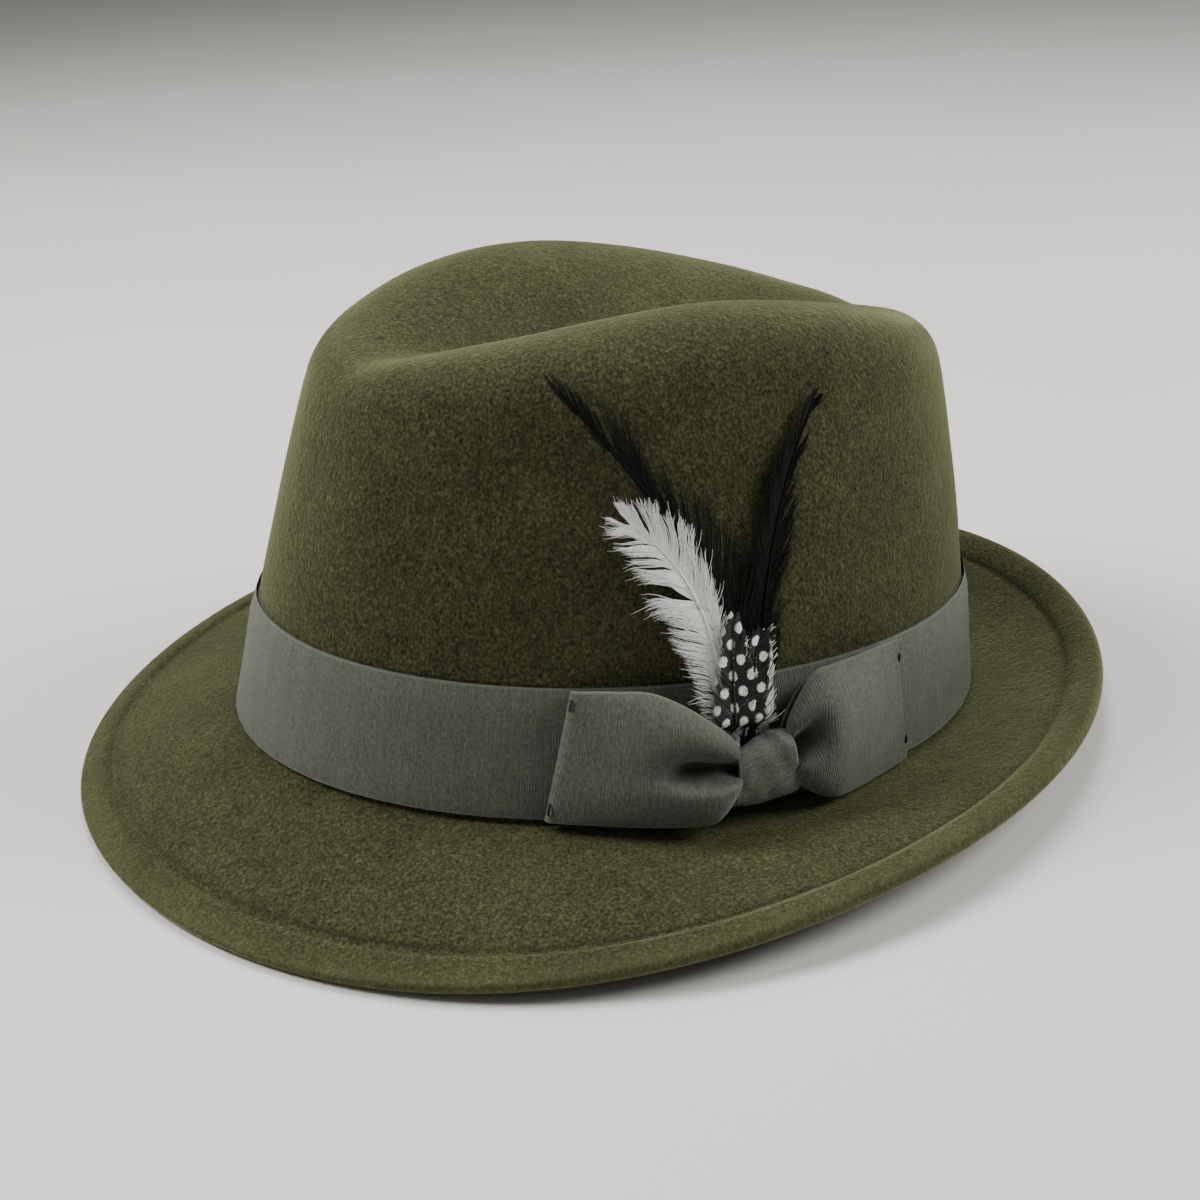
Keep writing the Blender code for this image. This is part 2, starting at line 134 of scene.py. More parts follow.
class Shade:
    """One material and its node tree, with one way to add any node."""

    def __init__(self, name: str) -> None:
        """Start a material with only its Principled shader and output.

        Args:
            name: the material's name.
        """
        self.material = bpy.data.materials.new(name)
        self.material.use_nodes = True
        self.tree = self.material.node_tree
        self.shader = self.tree.nodes["Principled BSDF"]
        self.object_place = self.node("ShaderNodeTexCoord").outputs["Object"]

    def node(self, kind: str, settings: dict | None = None, inputs: dict | None = None) -> bpy.types.Node:
        """Add a node.

        Args:
            kind: the node's type name.
            settings: its own settings, set first.
            inputs: values or links for its sockets, by name or number.

        Returns:
            The new node.
        """
        made = self.tree.nodes.new(kind)
        for key, value in (settings or {}).items():
            setattr(made, key, value)
        for key, value in (inputs or {}).items():
            self.feed(made.inputs[key], value)
        return made

    def term(self, kind: str, settings: dict | None = None, inputs: dict | None = None,
             output: object = 0) -> Term:
        """Add a node and wrap one of its outputs."""
        return Term(self, self.node(kind, settings, inputs).outputs[output])

    def feed(self, socket: bpy.types.NodeSocket, value: object) -> None:
        """Link a term or a socket, or set a plain value.

        Args:
            socket: the socket to feed.
            value: the term, socket, number or colour.
        """
        if isinstance(value, Term):
            value = value.socket
        if isinstance(value, bpy.types.NodeSocket):
            self.tree.links.new(value, socket)
        elif isinstance(value, (tuple, list)) and len(value) == 3 and socket.type == "RGBA":
            socket.default_value = (*value, 1.0)
        else:
            socket.default_value = value

    def mix(self, factor: object, first: object, second: object, blend: str = "MIX") -> Term:
        """Mix two colours."""
        settings = {"data_type": "RGBA", "blend_type": blend}
        return self.term("ShaderNodeMix", settings, {0: factor, 6: first, 7: second}, 2)

    def stretched(self, place: object, scale: tuple[float, float, float], turn: float = 0.0) -> Term:
        """Coordinates scaled along each axis after a turn about Z."""
        inputs = {0: place, 2: (0.0, 0.0, turn), 3: scale}
        return self.term("ShaderNodeMapping", {"vector_type": "POINT"}, inputs)

    def grain(self, place: object, size: float, detail: float = 2.0, rough: float = 0.55) -> Term:
        """Noise from 0 to 1 with features of about a size in metres."""
        inputs = {"Vector": place, "Scale": 1.0 / size, "Detail": detail, "Roughness": rough}
        return self.term("ShaderNodeTexNoise", {"noise_dimensions": "3D"}, inputs)

    def bump(self, height: Term, distance: float, strength: float = 1.0, below: object = None) -> Term:
        """A bumped normal.

        Args:
            height: the relief, from 0 to 1.
            distance: its full height in metres.
            strength: how much of it shows.
            below: a normal that it adds to.

        Returns:
            The normal.
        """
        inputs = {"Height": height, "Distance": distance, "Strength": strength}
        if below is not None:
            inputs["Normal"] = below
        return self.term("ShaderNodeBump", {}, inputs)

    def surface(self, **sockets: object) -> bpy.types.Material:
        """Finish the material.

        Args:
            sockets: the Principled shader's sockets, named with underscores for spaces.

        Returns:
            The material.
        """
        for name, value in sockets.items():
            self.feed(self.shader.inputs[name.replace("_", " ")], value)
        return self.material

    def uv(self) -> tuple[Term, Term]:
        """Read the piece's own UV map.

        Returns:
            Its two values.
        """
        place = self.term("ShaderNodeUVMap", {"uv_map": UV_NAME})
        split = self.node("ShaderNodeSeparateXYZ", {}, {0: place})
        return Term(self, split.outputs[0]), Term(self, split.outputs[1])

    def attribute(self, name: str) -> Term:
        """One value of the piece's own, by name."""
        return self.term("ShaderNodeAttribute", {"attribute_name": name}, {}, 2)

    def joined(self, x: object, y: object, z: object = 0.0) -> Term:
        """Three values as one vector."""
        return self.term("ShaderNodeCombineXYZ", {}, {0: x, 1: y, 2: z})


@dataclass(frozen=True)
class FeltFinish:
    """Brushed wool felt: mottled fibres, a soft sheen at grazing angles, painted shade along the line left
    by pressing the brim and in a pinhole, and painted sheen on the rim.
    """

    name: str = "wool_felt"
    deep: tuple[float, float, float] = (0.010, 0.011, 0.006)
    main: tuple[float, float, float] = (0.036, 0.038, 0.016)
    lit: tuple[float, float, float] = (0.094, 0.098, 0.044)
    brown: tuple[float, float, float] = (0.066, 0.046, 0.022)
    green: tuple[float, float, float] = (0.040, 0.066, 0.030)
    pinhole: tuple[float, float, float] = (-0.01066, -0.05219, 0.1126)
    pinhole_radius: float = 0.0007

    def material(self) -> bpy.types.Material:
        """Build the felt's material.

        Returns:
            The material.
        """
        shade = Shade(self.name)
        place = shade.object_place
        cloud = shade.grain(place, 0.026, 3.0)
        clump = shade.grain(place, 0.0021, 3.0, 0.7)
        lean = shade.stretched(place, (1.0, 1.0, 0.8), 0.5)
        fibre = shade.grain(lean, 0.00075, 2.0, 0.7)
        brown = shade.grain(shade.stretched(place, (1.0, 1.0, 0.7), 1.1), 0.0016, 2.0, 0.6)
        green = shade.grain(shade.stretched(place, (1.0, 1.0, 0.7), 2.3), 0.0013, 2.0, 0.6)
        tone = cloud * 0.35 + clump * 0.46 + fibre * 1.45 - 0.63
        colour = shade.mix(tone.between(0.16, 0.52), self.deep, self.main)
        colour = shade.mix(tone.between(0.46, 0.92), colour, self.lit)
        colour = shade.mix(brown.between(0.58, 0.76) * 0.50, colour, self.brown)
        colour = shade.mix(green.between(0.56, 0.76) * 0.50, colour, self.green)
        # Painted sheen: lighter towards the rim. Painted shade: darker along the line left by pressing the
        # brim, broken by noise.
        painted_shade = shade.attribute(PAINTED_SHADE_NAME)
        broken_groove_shade = shade.grain(place, 0.004, 2.0).between(0.30, 0.60) * 0.4 + 0.6
        colour = shade.mix(shade.attribute(RIM_SHEEN_NAME) * 0.30, colour, self.lit)
        colour = shade.mix(painted_shade * broken_groove_shade * 0.70, colour, self.deep)
        # Painted shade: a dark spot round the pinhole's point.
        away = shade.term("ShaderNodeVectorMath", {"operation": "DISTANCE"}, {0: place, 1: self.pinhole}, 1)
        pinhole_shade = away.between(self.pinhole_radius + 0.0006, self.pinhole_radius)
        colour = shade.mix(pinhole_shade * 0.9, colour, self.deep)
        height = clump * 0.60 + fibre * 0.40
        fine = shade.bump(height, 0.00065, 0.95)
        return shade.surface(
            Base_Color=colour,
            Roughness=0.95,
            Specular_IOR_Level=0.12,
            Sheen_Weight=0.72,
            Sheen_Roughness=0.34,
            Sheen_Tint=(0.52, 0.58, 0.30),
            Normal=shade.bump(cloud, 0.0012, 0.5, fine),
        )


@dataclass(frozen=True)
class RibbonFinish:
    """Grosgrain: fine ribs across the ribbon, firm edges and painted shade in the bow's fold, on the
    piece's own UV map in metres.
    """

    name: str
    half_width: float
    rib: float = 0.00058
    main: tuple[float, float, float] = (0.126, 0.137, 0.111)
    deep: tuple[float, float, float] = (0.039, 0.044, 0.034)
    edge: tuple[float, float, float] = (0.160, 0.172, 0.138)
    # Near-black colour of the painted shade in the bow's fold.
    fold: tuple[float, float, float] = (0.008, 0.009, 0.007)

    def material(self) -> bpy.types.Material:
        """Build the ribbon's material.

        Returns:
            The material.
        """
        shade = Shade(self.name)
        along, across = shade.uv()
        wander = shade.grain(shade.joined(along * 0.5, across * 0.25), 0.0016, 2.0)
        ribs = ((along + wander * self.rib * 1.8) * (2 * math.pi / self.rib)).sine() * 0.5 + 0.5
        weft = (across * (2 * math.pi / (self.rib * 0.72))).sine() * 0.5 + 0.5
        streak = shade.grain(shade.joined(along, across * 0.10), 0.0009, 3.0, 0.75)
        fleck = shade.grain(shade.joined(along, across * 0.6), 0.0007, 2.0, 0.8)
        cloud = shade.grain(shade.joined(along, across), 0.012, 2.0)
        tone = ribs * 0.10 + streak * 0.50 + fleck * 1.10 + weft * 0.10 + cloud * 0.16 - 0.53
        colour = shade.mix(tone.between(0.05, 0.95), self.deep, self.main)
        rim = across.size().between(self.half_width - 0.0008, self.half_width - 0.0003)
        colour = shade.mix(rim * 0.45, colour, self.edge)
        # Painted shade: near-black where the bow's fold is deep.
        colour = shade.mix(shade.attribute(PAINTED_SHADE_NAME) * 0.92, colour, self.fold)
        height = ribs * 0.35 + weft * 0.15 + fleck * 0.50
        return shade.surface(
            Base_Color=colour,
            Roughness=0.70,
            Specular_IOR_Level=0.30,
            Sheen_Weight=0.25,
            Sheen_Roughness=0.45,
            Sheen_Tint=(0.75, 0.80, 0.68),
            Normal=shade.bump(height, 0.00022, 0.8),
        )


class Down(Enum):
    """The kinds of feather."""

    BLACK = "black"
    WHITE = "white"
    SPOTTED = "spotted"


BARB_BREADTH = {Down.WHITE: 0.00022, Down.BLACK: 0.00030, Down.SPOTTED: 0.00046}


@dataclass(frozen=True)
class FeatherFinish:
    """Barbs of a feather, on a UV map in metres: across from the shaft, and along it."""

    kind: Down
    row: float = 0.0036
    column: float = 0.0044
    dot: tuple[float, float] = (0.00100, 0.00125)
    fringe: bool = False
    glint: bool = False
    glint_along: float = 0.062
    glint_across: float = 0.0016

    def material(self) -> bpy.types.Material:
        """Build the feather's material.

        Returns:
            The material.
        """
        shade = Shade(f"feather_{self.kind.value}" + ("_fringed" if self.fringe else ""))
        across, along = shade.uv()
        streak = shade.grain(shade.joined(across, along * 4.0), 0.0012, 2.0)
        if self.kind is Down.WHITE:
            colour = shade.mix(streak.between(0.20, 0.70), (0.70, 0.70, 0.68), (0.94, 0.94, 0.93))
            rough, gloss = 0.65, 0.25
        elif self.kind is Down.BLACK:
            colour = shade.mix(streak.between(0.3, 0.8), (0.002, 0.002, 0.002), (0.010, 0.009, 0.008))
            if self.glint:
                patch = (along - self.glint_along).size().between(0.012, 0.006)
                patch *= (across - self.glint_across).size().between(0.0011, 0.0004)
                colour = shade.mix(patch * streak.between(0.45, 0.60), colour, (0.42, 0.42, 0.40))
            rough, gloss = 0.60, 0.12
        else:
            colour = self.dots(shade, across, along, streak)
            rough, gloss = 0.50, 0.40
        return shade.surface(Base_Color=colour, Roughness=rough, Specular_IOR_Level=gloss)

    def dots(self, shade: Shade, across: Term, along: Term, streak: Term) -> Term:
        """White dots in slanting rows on black.

        Args:
            shade: the material that is being built.
            across: distance from the shaft.
            along: distance along the shaft.
            streak: fine variation along the barbs.

        Returns:
            The dotted colour.
        """
        row = (along / self.row).whole()
        shifted = across + (row * 0.5).rest_of(1.0) * self.column + self.column * 0.25
        x = shifted.rest_of(self.column) - self.column / 2
        y = along.rest_of(self.row) - self.row / 2
        wobble = shade.grain(shade.joined(across, along), 0.0016, 1.0) - 0.5
        reach = ((x / self.dot[0]) ** 2 + (y / self.dot[1]) ** 2) ** 0.5 + wobble * 0.5
        black = shade.mix(streak.between(0.3, 0.8), (0.005, 0.005, 0.005), (0.020, 0.018, 0.016))
        white = shade.mix(streak.between(0.2, 0.7), (0.62, 0.62, 0.58), (0.88, 0.88, 0.85))
        colour = shade.mix(reach.between(1.12, 0.86), black, white)
        if self.fringe:
            colour = shade.mix((across + wobble * 0.002).between(0.0022, 0.0030), colour, white)
        return colour


@dataclass(frozen=True)
class PlainFinish:
    """A fine thread, shaft or floor with a little grain."""

    name: str
    dark: tuple[float, float, float]
    pale: tuple[float, float, float]
    grain: float
    roughness: float

    def material(self) -> bpy.types.Material:
        """Build the plain material.

        Returns:
            The material.
        """
        shade = Shade(self.name)
        tone = shade.grain(shade.object_place, self.grain, 2.0)
        colour = shade.mix(tone.between(0.3, 0.7), self.dark, self.pale)
        return shade.surface(Base_Color=colour, Roughness=self.roughness, Specular_IOR_Level=0.3)


def ease(u: float) -> float:
    """A smooth step over 0 to 1, held outside."""
    u = min(max(u, 0.0), 1.0)
    return u * u * (3 - 2 * u)


def link(mesh: bmesh.types.BMesh, name: str, material: bpy.types.Material) -> bpy.types.Object:
    """Make a smooth-shaded object of a bmesh.

    Args:
        mesh: the finished bmesh, which is freed.
        name: the object's name.
        material: its finish.

    Returns:
        The object, linked to the scene.
    """
    data = bpy.data.meshes.new(name)
    mesh.to_mesh(data)
    mesh.free()
    data.materials.append(material)
    data.shade_smooth()
    thing = bpy.data.objects.new(name, data)
    bpy.context.scene.collection.objects.link(thing)
    return thing


def settle(thing: bpy.types.Object) -> bpy.types.Object:
    """Replace an object's mesh by what its modifiers make of it.

    Args:
        thing: the object.

    Returns:
        The same object, without modifiers.
    """
    graph = bpy.context.evaluated_depsgraph_get()
    data = bpy.data.meshes.new_from_object(thing.evaluated_get(graph))
    old = thing.data
    thing.modifiers.clear()
    thing.data = data
    bpy.data.meshes.remove(old)
    return thing


def soften(thing: bpy.types.Object, levels: int) -> bpy.types.Object:
    """Smooth an object by subdivision and keep the result.

    Args:
        thing: the object.
        levels: how often each face is divided.

    Returns:
        The same object.
    """
    modifier = thing.modifiers.new("soft", "SUBSURF")
    modifier.levels = levels
    modifier.render_levels = levels
    return settle(thing)


def clothe(mesh: bmesh.types.BMesh, name: str, finish: RibbonFinish, thickness: float) -> bpy.types.Object:
    """Make soft ribbon of its middle sheet.

    Args:
        mesh: the sheet, whose ends meet but aren't joined yet.
        name: the object's name.
        finish: the ribbon's finish.
        thickness: the ribbon's thickness.

    Returns:
        The ribbon's object.
    """
    close(mesh, 0.00001)
    thing = link(mesh, name, finish.material())
    wall = thing.modifiers.new("cloth", "SOLIDIFY")
    wall.thickness = thickness
    wall.offset = 0.0
    return soften(settle(thing), 1)


def close(mesh: bmesh.types.BMesh, distance: float) -> None:
    """Join the ends of a sheet that meets itself, and turn its faces outwards."""
    bmesh.ops.remove_doubles(mesh, verts=mesh.verts, dist=distance)
    bmesh.ops.recalc_face_normals(mesh, faces=mesh.faces)


def tube(steps: int, sides: int, place: Callable[[float, float], Vector],
         uv: Callable | None = None) -> bmesh.types.BMesh:
    """A thin closed tube.

    Args:
        steps: faces along it.
        sides: faces round it.
        place: gives the point for its share along and round.
        uv: gives the texture place for the two shares.

    Returns:
        The bmesh.
    """
    mesh = sheet(steps, sides, place, uv=uv)
    bmesh.ops.remove_doubles(mesh, verts=mesh.verts, dist=0.000004)
    bmesh.ops.holes_fill(mesh, edges=mesh.edges, sides=sides)
    bmesh.ops.recalc_face_normals(mesh, faces=mesh.faces)
    return mesh


def join(whole: bmesh.types.BMesh, part: bmesh.types.BMesh) -> None:
    """Add one bmesh to another and free it.

    Args:
        whole: the bmesh that grows.
        part: the bmesh that is added.
    """
    data = bpy.data.meshes.new("part")
    part.to_mesh(data)
    part.free()
    whole.from_mesh(data)
    bpy.data.meshes.remove(data)


def line_up(mesh: bmesh.types.BMesh) -> None:
    """Put the faces in the order of their corners, so that every run stores them alike.

    Args:
        mesh: the bmesh, whose last operator may have added faces in no fixed order.
    """
    mesh.verts.index_update()
    count = len(mesh.verts)

    def rank(face: bmesh.types.BMFace) -> int:
        """A face's place, from its first and last corner."""
        numbers = [vert.index for vert in face.verts]
        return min(numbers) * count + max(numbers)

    mesh.faces.sort(key=rank)


def sheet(columns: int, rows: int, place: Callable[[float, float], Vector], keep: Callable | None = None,
          uv: Callable | None = None) -> bmesh.types.BMesh:
    """A grid laid over a surface.

    Args:
        columns: faces along the first direction.
        rows: faces along the second direction.
        place: gives the point for shares 0 to 1 in both directions.
        keep: says from the two face numbers whether a face stays; all stay without it.
        uv: gives the texture place for the two shares; there is none without it.

    Returns:
        The bmesh.
    """
    mesh = bmesh.new()
    layer = mesh.loops.layers.uv.new(UV_NAME) if uv else None
    bmesh.ops.create_grid(mesh, x_segments=columns, y_segments=rows, size=1.0)
    shares = {v: ((v.co.x + 1) / 2, (v.co.y + 1) / 2) for v in mesh.verts}
    if keep:
        gone = []
        for face in mesh.faces:
            middle = face.calc_center_median()
            i = math.floor((middle.x + 1) / 2 * columns)
            j = math.floor((middle.y + 1) / 2 * rows)
            if not keep(i, j):
                gone.append(face)
        bmesh.ops.delete(mesh, geom=gone, context="FACES")
    if layer:
        for face in mesh.faces:
            for loop in face.loops:
                loop[layer].uv = uv(*shares[loop.vert])
    for vert in mesh.verts:
        u, v = shares[vert]
        vert.co = place(u, v)
    return mesh


@dataclass
class HatForm:
    """The hat's own upright frame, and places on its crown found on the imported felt.

    Upright, z is 0 where the crown leaves the brim, the front is at -Y and the wearer's left at +X.
    """

    half_length: float = 0.102
    half_width: float = 0.086
    wall_lean: float = math.radians(9.05)
    lean: float = math.radians(4.99)
    shift: Vector = field(default_factory=lambda: Vector((0.0, 0.00244, 0.01024)))
    ribbon: float = 0.001
    ribbon_width: float = 0.030
    ribbon_rise: float = 0.001
    seat: float = 0.0003
    slack: float = 0.0003
    near: float = 0.0015
    search_step: float = 0.0015
    widening: float = 0.12
    far: float = 0.010
    searches: int = 16
    tree: BVHTree = None

    def __post_init__(self) -> None:
        """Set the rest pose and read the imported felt."""
        self.rest = Matrix.Translation(self.shift) @ Matrix.Rotation(-self.lean, 4, "X")
        self.upright = self.rest.inverted()
        self.read(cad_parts["felt_body"])

    def read(self, felt: bpy.types.Object) -> None:
        """Take the surface that places are found on.

        Args:
            felt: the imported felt's node.
        """
        mesh = bmesh.new()
        mesh.from_mesh(felt.data)
        mesh.transform(self.upright)
        self.tree = BVHTree.FromBMesh(mesh)
        mesh.free()

    def outward(self, angle: float) -> Vector:
        """The level direction square to the head oval."""
        level = Vector((math.cos(angle) / self.half_width, math.sin(angle) / self.half_length, 0.0))
        return level.normalized()

    def oval(self, angle: float) -> Vector:
        """A point of the head oval's outside at the brim."""
        return Vector((self.half_width * math.cos(angle), self.half_length * math.sin(angle), 0.0))

    def on_wall(self, angle: float, height: float, off: float) -> Vector:
        """A point off the crown's wall, upright.

        Args:
            angle: round the crown from the wearer's left towards the back.
            height: above the brim.
            off: distance off the felt.

        Returns:
            The point in the upright frame.
        """
        out = self.outward(angle)
        tilt = Vector((0.0, 0.0, math.tan(self.wall_lean)))
        flat = self.oval(angle) + Vector((0.0, 0.0, height)) - out * height * tilt.z
        reach = min(self.near + self.widening * height, self.far)
        place = flat
        for step in range(self.searches):
            down = Vector((0.0, 0.0, self.search_step * step))
            hit = self.tree.ray_cast(flat + out * reach - down, -out, 0.05)[0]
            if hit is not None:
                place = hit + down
                break
        return place + (out + tilt).normalized() * off

    def on_band(self, along: float, up: float, off: float) -> Vector:
        """A point off the ribbon band at rest.

        Args:
            along: distance along the band from the wearer's left towards the back.
            up: height above the middle of the band.
            off: distance off the band's outer side.

        Returns:
            The point in the row frame.
        """
        height = self.ribbon_rise + self.ribbon_width / 2 + up
        slack = self.slack * min(max(0.5 + up / self.ribbon_width, 0.0), 1.0)
        place = self.on_wall(along / self.half_length, height, self.seat + slack + self.ribbon + off)
        return self.rest @ place


@dataclass
class FeltHood:
    """Crown and brim of one piece of felt."""

    form: HatForm
    finish: FeltFinish = field(default_factory=FeltFinish)
    drift: float = 0.0005
    drift_above: float = 0.030
    drift_fade: float = 0.012
    waviness: float = 0.045
    line_inside: float = 0.0096
    groove_shade_width: float = 0.0004
    rim_sheen_width: float = 0.008

    def build(self) -> bpy.types.Object:
        """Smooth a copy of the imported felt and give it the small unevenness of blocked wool.

        Returns:
            The felt piece.
        """
        mesh = bmesh.new()
        mesh.from_mesh(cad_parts["felt_body"].data)
        bmesh.ops.remove_doubles(mesh, verts=mesh.verts, dist=0.000002)
        limit = math.radians(40)
        bmesh.ops.join_triangles(
            mesh, faces=mesh.faces, angle_face_threshold=limit, angle_shape_threshold=limit)
        bmesh.ops.recalc_face_normals(mesh, faces=mesh.faces)
        felt = soften(link(mesh, "felt_hood", self.finish.material()), 2)
        outward = [vert.normal.copy() for vert in felt.data.vertices]
        for vert, normal in zip(felt.data.vertices, outward):
            above = (self.form.upright @ vert.co).z - self.drift_above
            amount = self.drift * ease(above / self.drift_fade)
            wave = noise.noise(vert.co / self.waviness) + 0.5 * noise.noise(vert.co / (self.waviness * 0.4))
            vert.co += normal * amount * wave
        self.paint_shade_and_sheen(felt)
        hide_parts("felt_body")
        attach(felt, ROOT)
        return felt

    def paint_shade_and_sheen(self, felt: bpy.types.Object) -> None:
        """Paint shade along the line left by pressing the brim, a fixed distance inside its edge, and paint
        sheen on the rim itself.

        Args:
            felt: the felt piece, which gets two values per vertex.
        """
        count = 256
        edge = [0.0] * count
        level = [self.form.upright @ vert.co for vert in felt.data.vertices]
        spots = [(math.atan2(place.y, place.x) / (2 * math.pi) % 1.0 * count, math.hypot(place.x, place.y))
                 for place in level]
        for turn, reach in spots:
            index = round(turn) % count
            edge[index] = max(edge[index], reach)
        edge = [max(edge[k - 1], edge[k], edge[(k + 1) % count]) for k in range(count)]
        depths = []
        for turn, reach in spots:
            index = math.floor(turn) % count
            rim = edge[index] + (edge[(index + 1) % count] - edge[index]) * (turn - math.floor(turn))
            depths.append(rim - reach)
        # Painted shade along the groove line and painted sheen on the rim, one value per vertex each.
        groove_shade = felt.data.attributes.new(PAINTED_SHADE_NAME, "FLOAT", "POINT")
        groove_shade.data.foreach_set(
            "value", [math.exp(-(((depth - self.line_inside) / self.groove_shade_width) ** 2)) for depth in depths])
        rim_sheen = felt.data.attributes.new(RIM_SHEEN_NAME, "FLOAT", "POINT")
        rim_sheen.data.foreach_set("value", [ease(1 - depth / self.rim_sheen_width) for depth in depths])


@dataclass
class Nap:
    """The short loose hairs that stand off the felt."""

    felt: bpy.types.Object
    hairs: int = 36000
    length: float = 0.0011
    width: float = 0.00006
    seed: int = 7

    def build(self) -> bpy.types.Object:
        """Scatter thin strips over the felt by area, each leaning along the surface.

        Returns:
            The nap piece.
        """
        chance = random.Random(self.seed)
        faces = self.felt.data.polygons
        weights = [face.area for face in faces]
        roots = []
        for index in chance.choices(range(len(faces)), weights, k=self.hairs):
            face = faces[index]
            if face.center.z < self.length:
                continue
            corners_of = [self.felt.data.vertices[v].co for v in face.vertices]
            shares = [chance.random() for _ in corners_of]
            spot = sum((c * s for c, s in zip(corners_of, shares)), Vector()) / sum(shares)
            normal = face.normal.copy()
            lean = Vector([chance.uniform(-1, 1) for _ in range(3)]) + Vector((0.0, 0.0, -0.4))
            lean = (lean - normal * lean.dot(normal)).normalized()
            way = (lean + normal * chance.uniform(0.15, 0.75)).normalized()
            reach = way * self.length * chance.uniform(0.4, 1.2)
            roots.append((spot, reach, normal.cross(way).normalized()))
        rows = 2 * len(roots) - 1

        def place(u: float, v: float) -> Vector:
            """A corner of a hair.

            Args:
                u: share along the hair.
                v: share of the way through the edges of all hairs.

            Returns:
                The corner.
            """
            index, edge = divmod(round(v * rows), 2)
            spot, way, aside = roots[index]
            half = self.width * (0.5 if edge == 0 else -0.5) * (1 - 0.6 * u)
            return spot + way * u + aside * half

        mesh = sheet(1, rows, place, keep=lambda i, j: j % 2 == 0)
        finish = PlainFinish("felt_hairs", (0.046, 0.050, 0.022), (0.110, 0.118, 0.056), 0.003, 0.9)
        nap = link(mesh, "felt_nap", finish.material())
        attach(nap, ROOT)
        return nap


@dataclass
class RibbonBand:
    """The flat ribbon round the foot of the crown."""

    form: HatForm
    columns: int = 360
    rows: int = 12
    length: float = 0.594
    inner: float = 0.0001
    ripple: float = 0.00012
    taper: float = 0.55

    def build(self) -> bpy.types.Object:
        """Lay the ribbon round the crown as a closed loop with a firm, slightly wavy upper edge.

        Returns:
            The band piece.
        """
        form = self.form
        half = form.ribbon_width / 2

        def side(v: float) -> tuple[bool, float]:
            """Whether a share lies on the outer side, and its height above the ribbon's middle."""
            front = v * 2 <= 1
            return front, half * (1 - 4 * v if front else 4 * v - 3)

        def place(u: float, v: float) -> Vector:
            """A point of the sheet, which runs down the outer side and up the inner one.

            Args:
                u: share round the crown.
                v: share round the ribbon's section.

            Returns:
                The point at rest.
            """
            front, up = side(v)
            angle = 2 * math.pi * u
            wave = self.ripple * noise.noise(Vector((math.cos(angle) * 4, math.sin(angle) * 4, up * 60)))
            thick = (form.seat + form.ribbon) * (1 - self.taper * ease((up / half - 0.6) / 0.4))
            off = self.inner + (thick if front else 0.0) + wave
            return form.rest @ form.on_wall(angle, form.ribbon_rise + half + up, off)

        mesh = sheet(self.columns, self.rows * 2, place, uv=lambda u, v: (u * self.length, side(v)[1]))
        close(mesh, 0.00001)
        band = link(mesh, "hat_band", RibbonFinish("ribbon_band_cloth", half).material())
        edge = band.modifiers.new("edge", "BEVEL")
        edge.width = 0.00025
        edge.segments = 2
        edge.limit_method = "ANGLE"
        edge.angle_limit = math.radians(50)
        settle(band)
        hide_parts("ribbon_band")
        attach(band, ROOT)
        return band


@dataclass
class Wing:
    """One side of the bow: how fast its ribbon opens above and below the knot, and its folds."""

    name: str
    side: int
    upper: float
    lower: float
    round: float
    puff: float
    fall: float
    lower_puff: float
    pleat: float
    pleat_across: float
    pleat_width: float
    pleat_reach: float
    lip: float
    skew: float
    over: float


